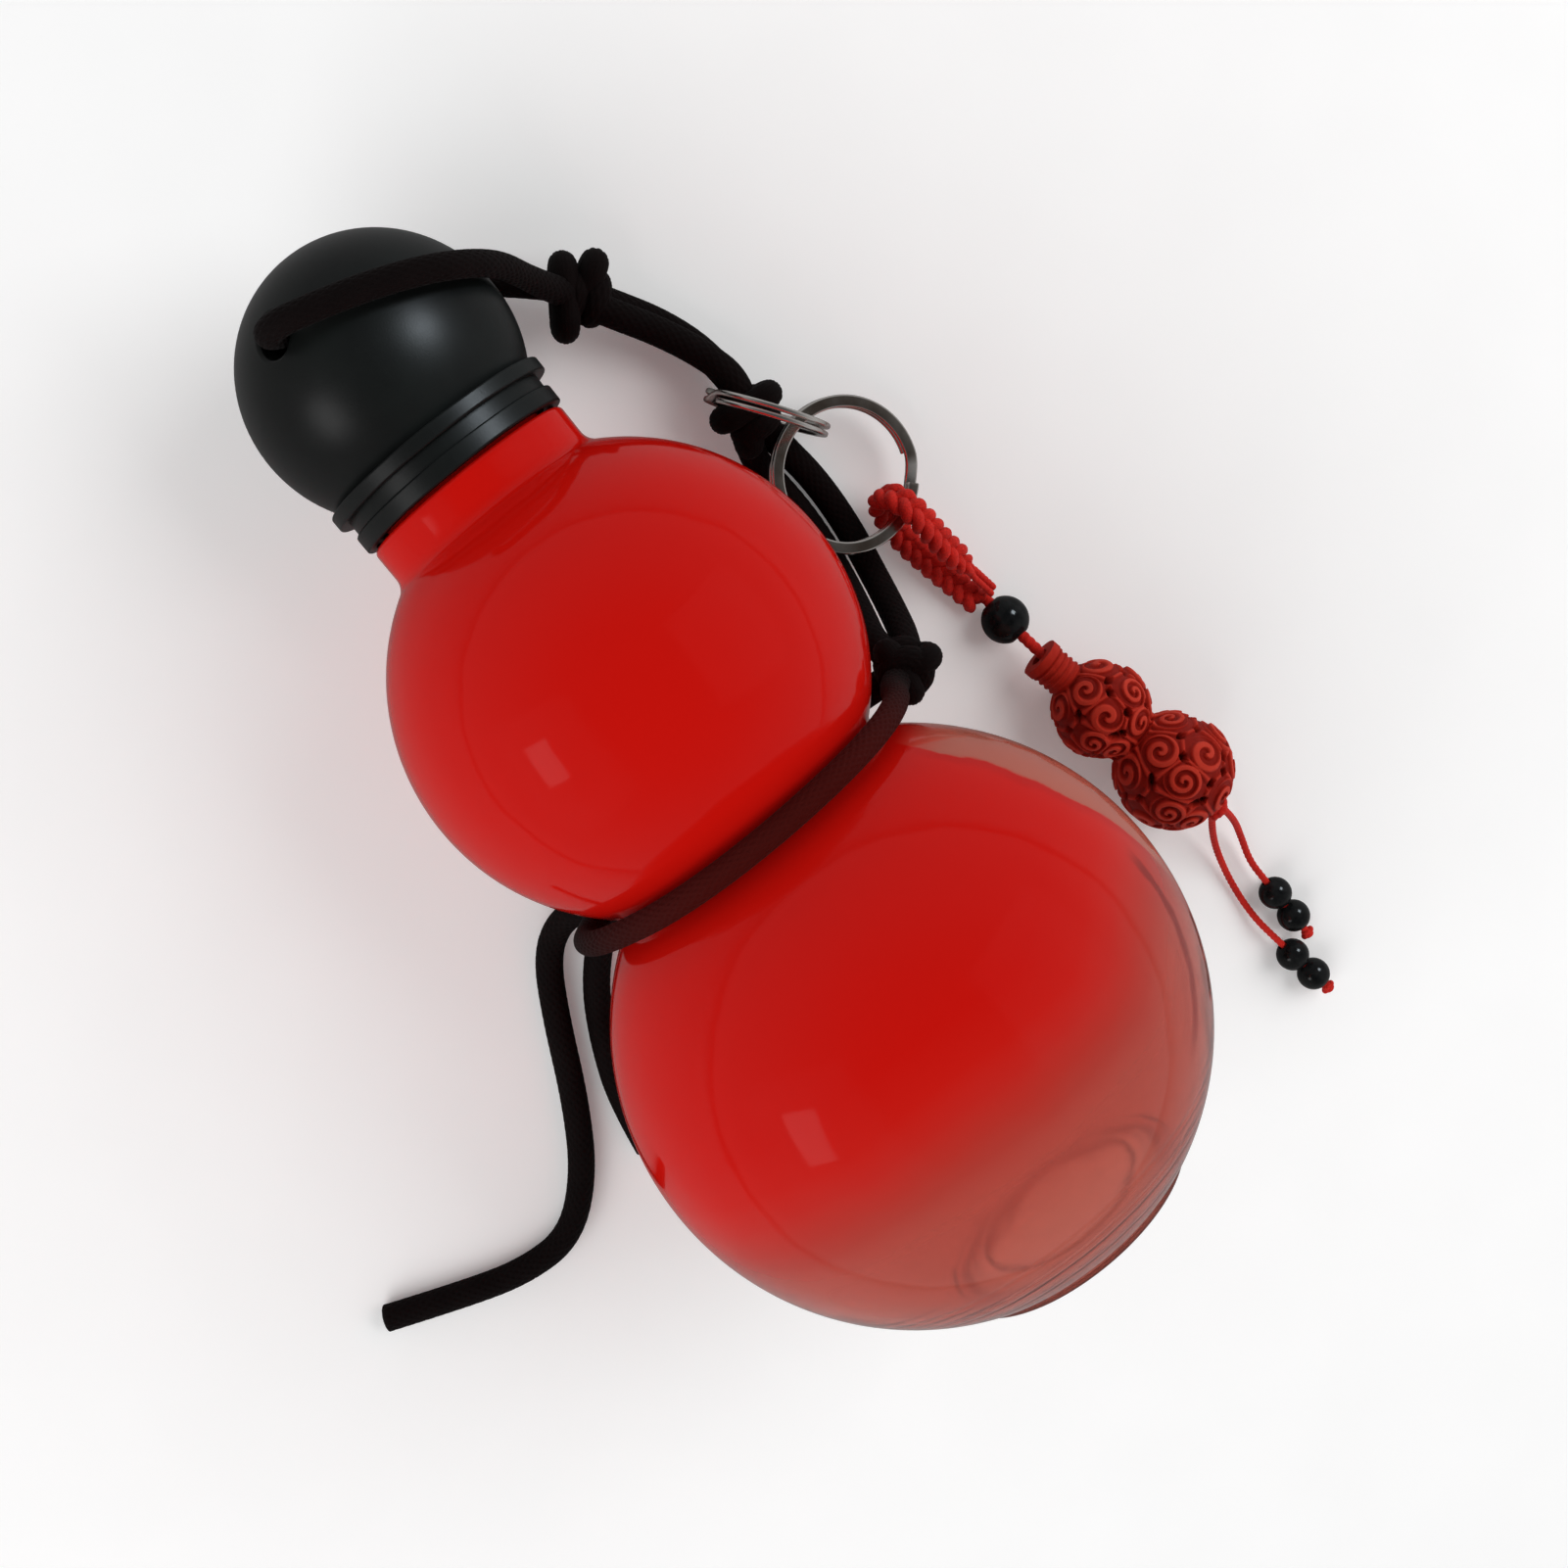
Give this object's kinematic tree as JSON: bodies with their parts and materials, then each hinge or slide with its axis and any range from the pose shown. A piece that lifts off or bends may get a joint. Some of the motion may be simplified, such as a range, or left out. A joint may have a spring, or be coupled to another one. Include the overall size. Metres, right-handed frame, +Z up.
{
  "type": "gourd-shaped water bottle",
  "caption": "See-through gourd bottle with a ball screw cap, a knotted black carrying cord, split rings and a red gourd charm.",
  "frame": {"origin": "on the ground, at the middle of the box round the bottle and its cap", "axes": "+Z up, +X level along the bottle towards the cap, +Y towards the cord's free tails"},
  "size_m": [0.2054, 0.171, 0.088],
  "materials": {
    "bottle_plastic": "glossy, see-through, red fading to clear towards the foot",
    "cap_plastic": "matt black, finely grained",
    "cup_plastic": "smooth black",
    "seal_rubber": "soft, matt",
    "black_cord": "fine round weave",
    "ring_steel": "polished nickel plate",
    "red_cord": "braided silk",
    "bead_gloss": "polished black",
    "charm_lacquer": "carved, red-brown lacquer"
  },
  "bodies": {
    "bottle": {"bottle_shell": "bottle_plastic"},
    "harness": {"cord_cap_loop": "black_cord", "cord_upper_knot": "black_cord", "cord_upper_span_low": "black_cord", "cord_upper_span_high": "black_cord", "cord_middle_knot": "black_cord", "cord_lower_span_right": "black_cord", "cord_lower_span_left": "black_cord", "cord_lower_knot": "black_cord", "cord_waist_front": "black_cord", "cord_waist_back": "black_cord", "cord_waist_knot": "black_cord", "cord_long_tail": "black_cord", "cord_short_tail": "black_cord"},
    "cap": {"cap_cover": "cap_plastic", "cap_cup": "cup_plastic", "cap_seal": "seal_rubber"},
    "small_ring": {"small_split_ring": "ring_steel"},
    "key_ring": {"key_split_ring": "ring_steel"},
    "charm": {"charm_braid": "red_cord", "charm_cord": "red_cord", "charm_end_knot": "red_cord", "charm_tail_right": "red_cord", "charm_tail_left": "red_cord", "charm_stop_knot_right": "red_cord", "charm_stop_knot_left": "red_cord"},
    "large_bead": {"large_bead": "bead_gloss"},
    "gourd_charm": {"gourd_charm": "charm_lacquer"},
    "small_bead_1": {"small_bead_1": "bead_gloss"},
    "small_bead_2": {"small_bead_2": "bead_gloss"},
    "small_bead_3": {"small_bead_3": "bead_gloss"},
    "small_bead_4": {"small_bead_4": "bead_gloss"}
  },
  "joints": [
    {"name": "cap_unscrew", "type": "hinge", "parent": "bottle", "child": "harness", "pos_m": [0.01719, 0, 0.0343], "axis": [0.9887, 0, -0.1502], "range_deg": [0, 1080]},
    {"name": "cap_rise", "type": "slide", "parent": "harness", "child": "cap", "axis": [0.9887, 0, -0.1502], "range_m": [0, 0.0151], "deforming": ["cord_cap_loop"]},
    {"name": "small_ring_swing", "type": "hinge", "parent": "harness", "child": "small_ring", "pos_m": [0.0315, -0.0428, 0.01005], "axis": [-0.5835, 0.8121, 0], "range_deg": [0, 45]},
    {"name": "key_ring_swing", "type": "hinge", "parent": "small_ring", "child": "key_ring", "pos_m": [0.024, -0.0482, 0.0082], "axis": [0, 0, 1], "range_deg": [-4, 25]},
    {"name": "charm_swing", "type": "hinge", "parent": "key_ring", "child": "charm", "pos_m": [0.0049, -0.0506, 0.0074], "axis": [0, 0, 1], "range_deg": [-8, 12]},
    {"name": "large_bead_spin", "type": "hinge", "parent": "charm", "child": "large_bead", "pos_m": [-0.0206, -0.05515, 0.00405], "axis": [-0.9377, -0.0409, 0.3449], "continuous": true},
    {"name": "gourd_charm_spin", "type": "hinge", "parent": "charm", "child": "gourd_charm", "pos_m": [-0.0581, -0.0619, 0.01025], "axis": [-0.9717, -0.2101, 0.1084], "continuous": true},
    {"name": "small_bead_1_spin", "type": "hinge", "parent": "charm", "child": "small_bead_1", "pos_m": [-0.09218, -0.06582, 0.00295], "axis": [-0.9984, -0.0571, 0], "continuous": true},
    {"name": "small_bead_2_spin", "type": "hinge", "parent": "charm", "child": "small_bead_2", "pos_m": [-0.09797, -0.06615, 0.00295], "axis": [-0.9984, -0.0571, 0], "continuous": true},
    {"name": "small_bead_3_spin", "type": "hinge", "parent": "charm", "child": "small_bead_3", "pos_m": [-0.10387, -0.06191, 0.00295], "axis": [-0.9835, -0.1812, 0], "continuous": true},
    {"name": "small_bead_4_spin", "type": "hinge", "parent": "charm", "child": "small_bead_4", "pos_m": [-0.10958, -0.06296, 0.00295], "axis": [-0.9835, -0.1812, 0], "continuous": true}
  ],
  "couplings": [
    {"joint": "cap_rise", "follows": "cap_unscrew", "m_per_rad": 0.00079577}
  ]
}
